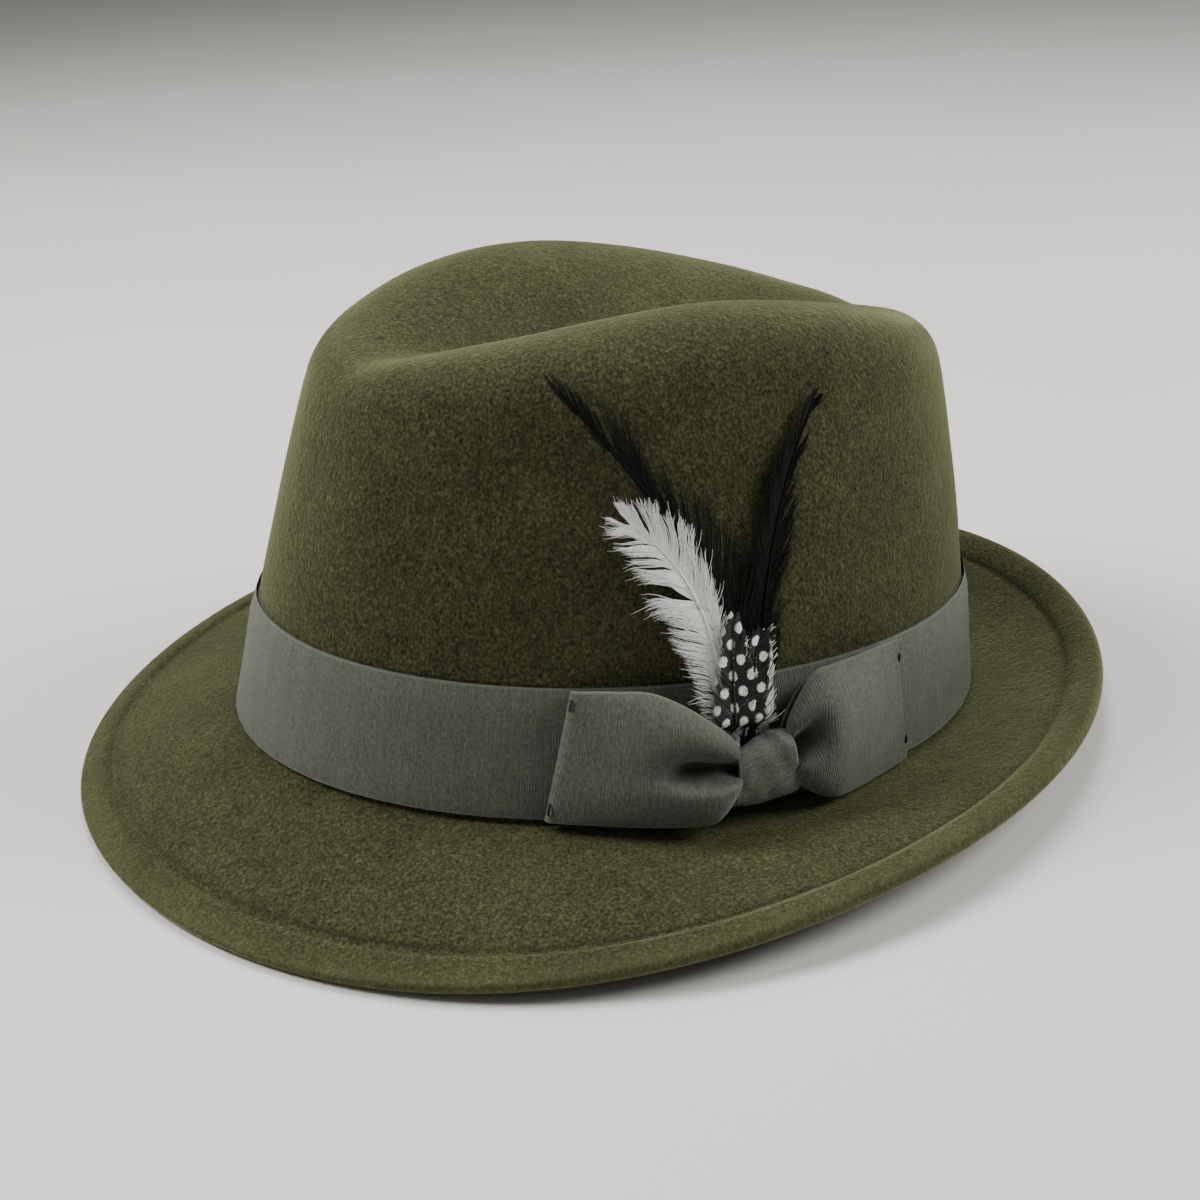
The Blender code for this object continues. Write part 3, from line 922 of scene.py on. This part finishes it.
@dataclass
class RibbonBow:
    """The flat bow: a loop pinched by a knot, with tacked ends."""

    form: HatForm
    knot_along: float = -0.01750
    knot_length: float = 0.0145
    knot_height: float = 0.0150
    knot_depth: float = 0.0088
    knot_back: float = 0.0017
    knot_drop: float = 0.0052
    wing_length: float = 0.0470
    ribbon: float = 0.0009
    tuck: float = 0.0016
    knot_rise: float = 0.0024
    pinch_half: float = 0.0045
    pinch_back: float = 0.0038
    pinch_gap: float = 0.0012
    fold_gap: float = 0.0010
    hidden: float = 0.0011
    shut_above: float = 0.995
    shut_below: float = 0.900
    steps: int = 44
    crease: float = 0.00014
    rumple: float = 0.0004
    waist: float = 0.12
    slant: float = 0.0006
    splay: float = 0.0016
    wrap_length: float = 0.042
    wings: tuple[Wing, Wing] = (
        Wing("front", -1, 0.58, 0.20, 0.65, 0.0085, 0.48, 1.15,
             0.0125, -0.20, 0.50, 0.38, 0.13, 0.0030, 0.0003),
        Wing("back", 1, 0.26, 0.34, 0.80, 0.0080, 0.48, 0.95,
             0.0070, 0.20, 0.34, 0.18, 0.30, 0.0010, 0.0010),
    )

    def fold(self, wing: Wing, out: float, across: float) -> float:
        """How deep a place on the front layer lies in the fold beside the knot, from 0 to 1.

        Args:
            wing: the side of the bow.
            out: share from the pinch (0) to the end of the wing (1).
            across: share of the ribbon's width, -1 to 1.

        Returns:
            The share of the fold's depth.
        """
        beside = math.exp(-((out / wing.pleat_reach) ** 4)) * ease(out / 0.03)
        away = across - wing.pleat_across
        width = wing.pleat_width - 0.6 * out * wing.pleat_width if away > 0 else wing.lip
        return beside * math.exp(-((away / width) ** 2))

    def clear_of_knot(self, along: float) -> float:
        """The share of a wing past the knot, 0 to 1, for the share from the knot's middle."""
        pinch = (self.knot_length / 2 - self.tuck) / self.wing_length
        return max(along - pinch, 0.0) / (1 - pinch)

    def layer(self, wing: Wing, along: float, across: float, front: bool) -> tuple[float, float]:
        """Height and stand-off of a point of the bow.

        Args:
            wing: the side of the bow.
            along: share from the knot (0) to the fold (1).
            across: share of the ribbon's width, -1 at its lower edge to 1.
            front: whether the point is on the front layer.

        Returns:
            Height above the band's middle, and distance off the band.
        """
        out = self.clear_of_knot(along)
        turn = min(out / (wing.upper if across > 0 else wing.lower), 1.0)
        open_up = wing.round * math.sqrt(1 - (1 - turn) ** 2) + (1 - wing.round) * ease(turn)
        half = self.pinch_half + (self.form.ribbon_width / 2 - self.pinch_half) * open_up
        middle = self.knot_drop * (1 - open_up)
        up = across * (half - middle if across < 0 else half) - middle
        back = self.pinch_back + (self.form.seat - self.pinch_back) * ease(out / 0.85)
        if not front:
            hidden = self.hidden * open_up * (1 - ease((out - 0.85) / 0.15))
            return up - max(across, 0.0) * hidden, back
        gap = self.pinch_gap + (self.fold_gap - self.pinch_gap) * out + 2 * self.ribbon
        swell = math.sin(math.pi * min(out / 0.96, 1.0) ** wing.fall)
        below = ease(-across / 0.5)
        swell *= 1 + (wing.lower_puff - 1) * below
        shut = self.shut_above + (self.shut_below - self.shut_above) * below
        puff = wing.puff * swell * math.sqrt(1 - (shut * across) ** 2)
        pleat = wing.pleat * self.fold(wing, out, across)
        return up + max(across, 0.0) * wing.over * open_up, back + gap + max(puff - pleat, 0.0)

    def loop(self) -> bpy.types.Object:
        """Lay the ribbon round its loop.

        Returns:
            The bow's loop.
        """
        course = []
        for number, front in ((0, True), (0, False), (1, False), (1, True)):
            shares = [(k / self.steps) ** 1.25 for k in range(self.steps + 1)]
            if number == (0 if not front else 1):
                shares.reverse()
            course += [(self.wings[number], share, front) for share in shares[:-1]]
        count = len(course)
        fold_shades = []

        def place(u: float, v: float) -> Vector:
            """A point of the loop's middle sheet; its depth in the fold is kept in the same order as
            painted shade.

            Args:
                u: share round the loop.
                v: share across the ribbon.

            Returns:
                The point at rest.
            """
            wing, along, front = course[round(u * count) % count]
            across = 2 * v - 1
            fold_shades.append(self.fold(wing, self.clear_of_knot(along), across) ** 0.6 if front else 0.0)
            up, off = self.layer(wing, along, across, front)
            off += -self.ribbon / 2 if front else self.ribbon / 2
            reach = along * (self.wing_length - self.ribbon / 2) - wing.skew * across * along**2
            return self.form.on_band(self.knot_along + wing.side * reach, up, off)

        def uv(u: float, v: float) -> tuple[float, float]:
            """Lengths along and across the ribbon."""
            along = course[round(u * count) % count][1]
            return (along * self.wing_length, (v - 0.5) * self.form.ribbon_width)

        mesh = sheet(count, 26, place, uv=uv)
        # Painted shade in the fold beside the knot, one value per vertex.
        layer = mesh.verts.layers.float.new(PAINTED_SHADE_NAME)
        for vert, fold_shade in zip(mesh.verts, fold_shades):
            vert[layer] = fold_shade
        finish = RibbonFinish("bow_cloth", self.form.ribbon_width / 2)
        bow = clothe(mesh, "bow", finish, self.ribbon)
        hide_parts("bow_loop")
        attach(bow, ROOT)
        return bow

    def knot(self) -> bpy.types.Object:
        """Wrap the short ribbon round the pinch.

        Returns:
            The bow's knot.
        """

        def place(u: float, v: float) -> Vector:
            """A point of the knot's middle sheet.

            Args:
                u: share round the pinch.
                v: share across the short ribbon, along the band.

            Returns:
                The point at rest.
            """
            turn = 2 * math.pi * u
            share = 2 * v - 1
            crease = self.crease * math.sin(8.0 * share + 4.0 * math.sin(turn)) + self.rumple * noise.noise(
                Vector((share * 2.4, math.cos(turn) * 1.8, math.sin(turn) * 1.8)))
            swell = 1 - self.waist * share**2
            power = abs(math.cos(turn)) ** 3 + abs(math.sin(turn)) ** 3
            reach = power ** (-1 / 3)
            half = self.knot_height / 2 * swell - self.ribbon / 2 + crease
            deep = self.knot_depth / 2 - self.ribbon / 2 + crease
            tilt = self.knot_rise * share * (0.6 + 0.4 * math.sin(turn))
            up = half * reach * math.sin(turn) - self.knot_drop + tilt
            off = self.knot_back + self.knot_depth / 2 + deep * reach * math.cos(turn)
            slant = (self.slant - self.splay * max(share, 0.0)) * math.sin(turn)
            return self.form.on_band(self.knot_along + share * self.knot_length / 2 + slant, up, off)

        mesh = sheet(72, 26, place, uv=lambda u, v: (u * self.wrap_length, (v - 0.5) * self.knot_length))
        knot = clothe(mesh, "bow_wrap", RibbonFinish("knot_cloth", self.knot_length / 2), self.ribbon)
        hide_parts("bow_knot")
        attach(knot, ROOT)
        return knot


@dataclass
class Tacks:
    """The short stitches that hold the ends of the bow flat."""

    form: HatForm
    bow: RibbonBow
    length: float = 0.0026
    radius: float = 0.00032
    inset: float = 0.0011
    proud: float = 0.00012
    dive: float = 0.0009
    skew: float = 0.0004
    spots: tuple[tuple[int, float], ...] = ((0, 0.0118), (0, -0.0118), (1, 0.0105), (1, -0.0098))

    def build(self) -> bpy.types.Object:
        """Lay one bent thread over each tacked place.

        Returns:
            The piece with all the stitches.
        """
        whole = bmesh.new()
        for number, up in self.spots:
            wing = self.bow.wings[number]
            across = up / (self.form.ribbon_width / 2)
            reach = self.bow.wing_length - self.inset - wing.skew * across
            along = self.bow.knot_along + wing.side * reach
            base, lift = self.bow.layer(wing, 0.97, across, True)

            def place(u: float, v: float) -> Vector:
                """A point of the thread.

                Args:
                    u: share along it.
                    v: share round it.

                Returns:
                    The point at rest.
                """
                turn = 2 * math.pi * v
                arch = lift + self.proud - self.dive * (2 * u - 1) ** 4
                side = self.radius * math.cos(turn) + self.skew * (u - 0.5)
                return self.form.on_band(along + side, base + (u - 0.5) * self.length,
                                         arch + self.radius * math.sin(turn))

            join(whole, tube(12, 8, place))
        finish = PlainFinish("tack_thread", (0.006, 0.007, 0.005), (0.018, 0.020, 0.016), 0.001, 0.7)
        tacks = link(whole, "tack_stitches", finish.material())
        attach(tacks, ROOT)
        return tacks


@dataclass
class Plume:
    """One feather: its shaft's path from the knot, and its vane, in shares of the spray's height."""

    name: str
    node: str
    finish: FeatherFinish
    foot: float
    bend: tuple[float, float]
    tip: tuple[float, float]
    before: float
    behind: float
    bare: float
    lift: float
    barbs: int
    sweep: tuple[float, float]
    fluff: float
    wisps: float
    base: float
    point: float
    end: float
    curve: tuple[float, float]
    seed: int


@dataclass
class Barb:
    """One barb: where it leaves the shaft, its length, its lean off the shaft and its own small curl."""

    root: float
    length: float
    lean: float
    curl: float
    raised: float


@dataclass
class Spray:
    """The feathers tucked behind the bow's knot."""

    form: HatForm
    bow: RibbonBow
    height: float = 0.0860
    foot_up: float = -0.055
    rise: float = 0.004
    segments: int = 7
    lock_chance: float = 0.05
    barb_thickness: float = 0.00005
    shaft_radius: float = 0.00042
    shaft_tip: float = 0.00004
    plumes: tuple[Plume, ...] = (
        Plume("plume_black_back", "feather_black_back", FeatherFinish(Down.BLACK, glint=True),
              0.027, (0.020, 0.62), (0.290, 0.940), 0.110, 0.080, 0.16, 0.0,
              260, (0.50, 0.20), 0.45, 0.12, 1.0, 1.1, 0.10, (-0.45, -0.45), 11),
        Plume("plume_black_front", "feather_black_front", FeatherFinish(Down.BLACK),
              0.001, (0.030, 0.56), (-0.580, 1.010), 0.055, 0.140, 0.14, 0.0012,
              280, (0.50, 0.20), 0.45, 0.12, 1.0, 1.1, 0.10, (-0.45, -0.20), 12),
        Plume("plume_white", "feather_white", FeatherFinish(Down.WHITE),
              -0.078, (-0.050, 0.50), (-0.335, 0.660), 0.112, 0.100, 0.05, 0.0024,
              620, (0.85, 0.42), 0.80, 0.07, 0.45, 4.0, 0.55, (0.45, -0.50), 13),
        Plume("plume_spotted_back", "feather_spotted_back", FeatherFinish(Down.SPOTTED, fringe=True),
              -0.022, (-0.014, 0.26), (0.020, 0.350), 0.070, 0.085, 0.12, 0.0036,
              130, (0.90, 0.45), 0.40, 0.12, 0.85, 1.3, 0.18, (-0.45, -0.30), 14),
        Plume("plume_spotted", "feather_spotted", FeatherFinish(Down.SPOTTED),
              -0.048, (-0.080, 0.24), (-0.060, 0.405), 0.080, 0.084, 0.10, 0.0048,
              180, (0.90, 0.40), 0.15, 0.04, 0.92, 1.25, 0.16, (-0.45, -0.45), 15),
    )

    def shaft(self, plume: Plume, u: float) -> tuple[Vector, Vector]:
        """A place on a feather's shaft.

        Args:
            plume: the feather.
            u: share of the shaft from its foot.

        Returns:
            The place and the heading there, both in the plane of the band.
        """
        foot = Vector((plume.foot, self.foot_up))
        bend = Vector(plume.bend)
        tip = Vector(plume.tip)
        place = foot * (1 - u) ** 2 + bend * 2 * u * (1 - u) + tip * u**2
        heading = ((bend - foot) * (1 - u) + (tip - bend) * u).normalized()
        return place * self.height, heading

    def spot(self, plume: Plume, place: Vector, off: float) -> Vector:
        """A point over the crown.

        Args:
            plume: the feather that it belongs to.
            place: its place in the plane of the band.
            off: its distance off the feather's own layer.

        Returns:
            The point at rest.
        """
        above = (place.y - self.bow.knot_height / 2 - self.form.seat) / self.rise
        lift = self.form.seat + plume.lift * ease(above)
        up = place.y - self.bow.knot_drop
        return self.form.on_band(self.bow.knot_along + place.x, up, lift + off)

    def barbs(self, plume: Plume, side: int) -> list[Barb]:
        """The barbs on one side of a shaft, in small locks that lie together.

        Args:
            plume: the feather.
            side: -1 for the side towards the front of the hat, 1 for the other.

        Returns:
            The barbs from the foot to the tip.
        """
        chance = random.Random(plume.seed * 10 + side)
        width = (plume.before if side < 0 else plume.behind) * self.height
        found = []
        lock = 0.0
        for k in range(plume.barbs):
            v = (k + 0.5) / plume.barbs
            loose = chance.random() < plume.wisps
            if chance.random() < self.lock_chance:
                lock = chance.uniform(-1.0, 1.0)
            full = plume.base + (1 - plume.base) * ease(v / 0.45)
            full *= max(1 - v**plume.point, 0.0) ** 0.5 * (1 - plume.end) + plume.end
            lean = plume.sweep[0] + (plume.sweep[1] - plume.sweep[0]) * v**1.5
            lean += (0.06 + 0.12 * plume.fluff) * lock + chance.uniform(-0.03, 0.03)
            length = width * full / max(math.sin(plume.sweep[0]), 0.5) * (1 + 0.12 * lock)
            length *= 1 + chance.uniform(-0.12, 0.06) + (chance.uniform(0.05, 0.25) if loose else 0.0)
            root = plume.bare + (1 - plume.bare) * v
            curl = chance.uniform(-0.9, 0.9) if loose else 0.4 * lock + chance.uniform(-0.12, 0.12)
            found.append(Barb(root, length, lean, curl, 0.5 + 0.5 * lock + (0.5 if loose else 0.0)))
        return found

    def vane(self, plume: Plume, side: int) -> bmesh.types.BMesh:
        """The barbs on one side of a shaft as narrow strips.

        Args:
            plume: the feather.
            side: -1 for the side towards the front of the hat, 1 for the other.

        Returns:
            The barbs' bmesh.
        """
        barbs = self.barbs(plume, side)
        rows = 2 * len(barbs) - 1
        bow = plume.curve[0 if side < 0 else 1]
        breadth = BARB_BREADTH[plume.finish.kind]
        foot, _ = self.shaft(plume, 0.0)
        top, _ = self.shaft(plume, 1.0)
        axis = (top - foot).normalized()

        def trace(v: float) -> tuple[Barb, Vector, Vector, int]:
            """The barb of a grid row, its root, the shaft's heading there, and which edge the row is."""
            index, edge = divmod(round(v * rows), 2)
            return (barbs[index], *self.shaft(plume, barbs[index].root), edge)

        def place(u: float, v: float) -> Vector:
            """A point of a barb over the crown.

            Args:
                u: share along the barb.
                v: share of the way through the edges of all barbs.

            Returns:
                The point at rest.
            """
            barb, root, heading, edge = trace(v)
            across = Vector((heading.y, -heading.x)) * side
            bent = barb.lean * (1 + bow * u) + plume.fluff * 0.6 * barb.curl * u
            middle = (barb.lean + bent) / 2
            way = (across * math.sin(middle) + heading * math.cos(middle)) * barb.length * u
            normal = heading * math.sin(middle) - across * math.cos(middle)
            half = breadth * (1 - 0.88 * u**1.8) * (0.5 if edge == 0 else -0.5)
            ripple = plume.fluff * 0.0007 * math.sin(u * 6.0 + barb.curl * 9.0) * u
            lift = 0.00035 + 0.0009 * plume.fluff * barb.raised * u
            lift += 0.0020 * plume.fluff * u**2 * barb.raised
            return self.spot(plume, root + way + normal * (half + ripple), lift + 0.00012 * barb.curl)

        def uv(u: float, v: float) -> tuple[float, float]:
            """A texture place that lies flat in the vane.

            Args:
                u: share along the barb.
                v: share of the way through the edges of all barbs.

            Returns:
                Distance across from the feather's long axis and along it.
            """
            barb, root, heading, _ = trace(v)
            across = Vector((heading.y, -heading.x)) * side
            middle = barb.lean * (1 + 0.5 * bow * u)
            way = (across * math.sin(middle) + heading * math.cos(middle)) * barb.length * u
            place = root + way - foot
            return (place.x * axis.y - place.y * axis.x, place.dot(axis))

        mesh = sheet(self.segments, rows, place, keep=lambda i, j: j % 2 == 0, uv=uv)
        loose = [v for v in mesh.verts if not v.link_faces]
        bmesh.ops.delete(mesh, geom=loose, context="VERTS")
        return mesh

    def build(self, plume: Plume) -> bpy.types.Object:
        """Make one feather.

        Args:
            plume: the feather's sizes.

        Returns:
            The feather piece.
        """
        whole = bmesh.new()
        whole.loops.layers.uv.new(UV_NAME)
        for side in (-1, 1):
            join(whole, self.vane(plume, side))
        bmesh.ops.solidify(whole, geom=whole.faces[:], thickness=self.barb_thickness)
        line_up(whole)
        join(whole, self.quill(plume))
        feather = link(whole, plume.name, plume.finish.material())
        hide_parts(plume.node)
        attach(feather, ROOT)
        return feather

    def quill(self, plume: Plume) -> bmesh.types.BMesh:
        """The tapering shaft.

        Args:
            plume: the feather.

        Returns:
            The closed tube.
        """

        def place(u: float, v: float) -> Vector:
            """A point of the tube.

            Args:
                u: share along the shaft.
                v: share round it.

            Returns:
                The point at rest.
            """
            spot, heading = self.shaft(plume, u)
            radius = self.shaft_radius * (1 - u) ** 0.7 + self.shaft_tip
            turn = 2 * math.pi * v
            side = Vector((heading.y, -heading.x)) * radius * math.cos(turn)
            return self.spot(plume, spot + side, 0.0005 + radius * math.sin(turn))

        return tube(40, 8, place, uv=lambda u, v: (0.0, u * self.height))

    def build_all(self) -> list[bpy.types.Object]:
        """Make every feather."""
        return [self.build(plume) for plume in self.plumes]


@dataclass
class Studio:
    """The pale floor, the soft lights and the camera."""

    form: HatForm
    azimuth: float = math.radians(57.0)
    elevation: float = math.radians(17.05)
    roll: float = math.radians(1.25)
    distance: float = 0.500
    aim: float = 0.050
    focal: float = 1880.0 / 1200.0
    centre: tuple[float, float] = (617.5 / 1200.0, 496.5 / 1200.0)

    def camera(self) -> None:
        """Stand the camera where the photograph was taken from."""
        a, e, r = self.azimuth, self.elevation, self.roll
        back = Vector((math.sin(a) * math.cos(e), -math.cos(a) * math.cos(e), math.sin(e)))
        level = Vector((math.cos(a), math.sin(a), 0.0))
        upward = back.cross(level)
        right = level * math.cos(r) + upward * math.sin(r)
        up = upward * math.cos(r) - level * math.sin(r)
        eye = Vector((0.0, 0.0, self.aim)) + back * self.distance
        pose = Matrix((right, up, back)).transposed().to_4x4()
        pose.translation = eye
        data = bpy.data.cameras.new("view")
        data.sensor_width = 36.0
        data.lens = self.focal * data.sensor_width
        data.shift_x = 0.5 - self.centre[0]
        data.shift_y = self.centre[1] - 0.5
        data.clip_start = 0.01
        camera = bpy.data.objects.new("view", data)
        camera.matrix_world = self.form.rest @ pose
        bpy.context.scene.collection.objects.link(camera)
        bpy.context.scene.camera = camera

    def floor(self) -> None:
        """Lay a plain pale floor."""
        mesh = bmesh.new()
        bmesh.ops.create_grid(mesh, x_segments=1, y_segments=1, size=6.0)
        finish = PlainFinish("pale_floor", (0.70, 0.685, 0.665), (0.74, 0.725, 0.705), 0.4, 0.8)
        link(mesh, "floor", finish.material())

    def lamp(self, name: str, place: tuple[float, float, float], power: float, size: float,
             colour: tuple[float, float, float]) -> None:
        """Hang one soft lamp that points at the hat.

        Args:
            name: the lamp's name.
            place: where it hangs.
            power: its power in watts.
            size: the width of its disk.
            colour: its colour.
        """
        data = bpy.data.lights.new(name, "AREA")
        data.shape = "DISK"
        data.size = size
        data.energy = power
        data.color = colour
        lamp = bpy.data.objects.new(name, data)
        lamp.location = place
        aim = Vector((0.0, 0.0, 0.05)) - Vector(place)
        lamp.rotation_euler = aim.to_track_quat("-Z", "Y").to_euler()
        bpy.context.scene.collection.objects.link(lamp)

    def lights(self) -> None:
        """Light the hat as the photograph does: from above and from the front, softer from the back."""
        self.lamp("key", (-0.56, -0.85, 1.15), 25.0, 0.7, (1.0, 0.98, 0.94))
        self.lamp("fill", (0.70, 0.98, 0.90), 21.0, 0.8, (1.0, 0.99, 0.97))
        self.lamp("rim", (-0.50, 0.35, 1.50), 14.0, 0.7, (1.0, 1.0, 0.98))
        world = bpy.data.worlds.new("studio")
        world.use_nodes = True
        world.node_tree.nodes["Background"].inputs["Color"].default_value = (0.95, 0.93, 0.90, 1.0)
        world.node_tree.nodes["Background"].inputs["Strength"].default_value = 0.20
        bpy.context.scene.world = world


def main() -> None:
    """Build the hat's pieces in order and light them."""
    form = HatForm()
    felt = FeltHood(form).build()
    pieces = [felt, Nap(felt).build(), RibbonBand(form).build()]
    bow = RibbonBow(form)
    pieces += [bow.loop(), bow.knot(), Tacks(form, bow).build()]
    pieces += Spray(form, bow).build_all()
    for piece in pieces:
        LOG.info("%s: %d faces", piece.name, len(piece.data.polygons))
    studio = Studio(form)
    studio.floor()
    studio.lights()
    studio.camera()
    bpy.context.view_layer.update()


if __name__ == "__main__":
    logging.basicConfig(level=logging.INFO)
    main()
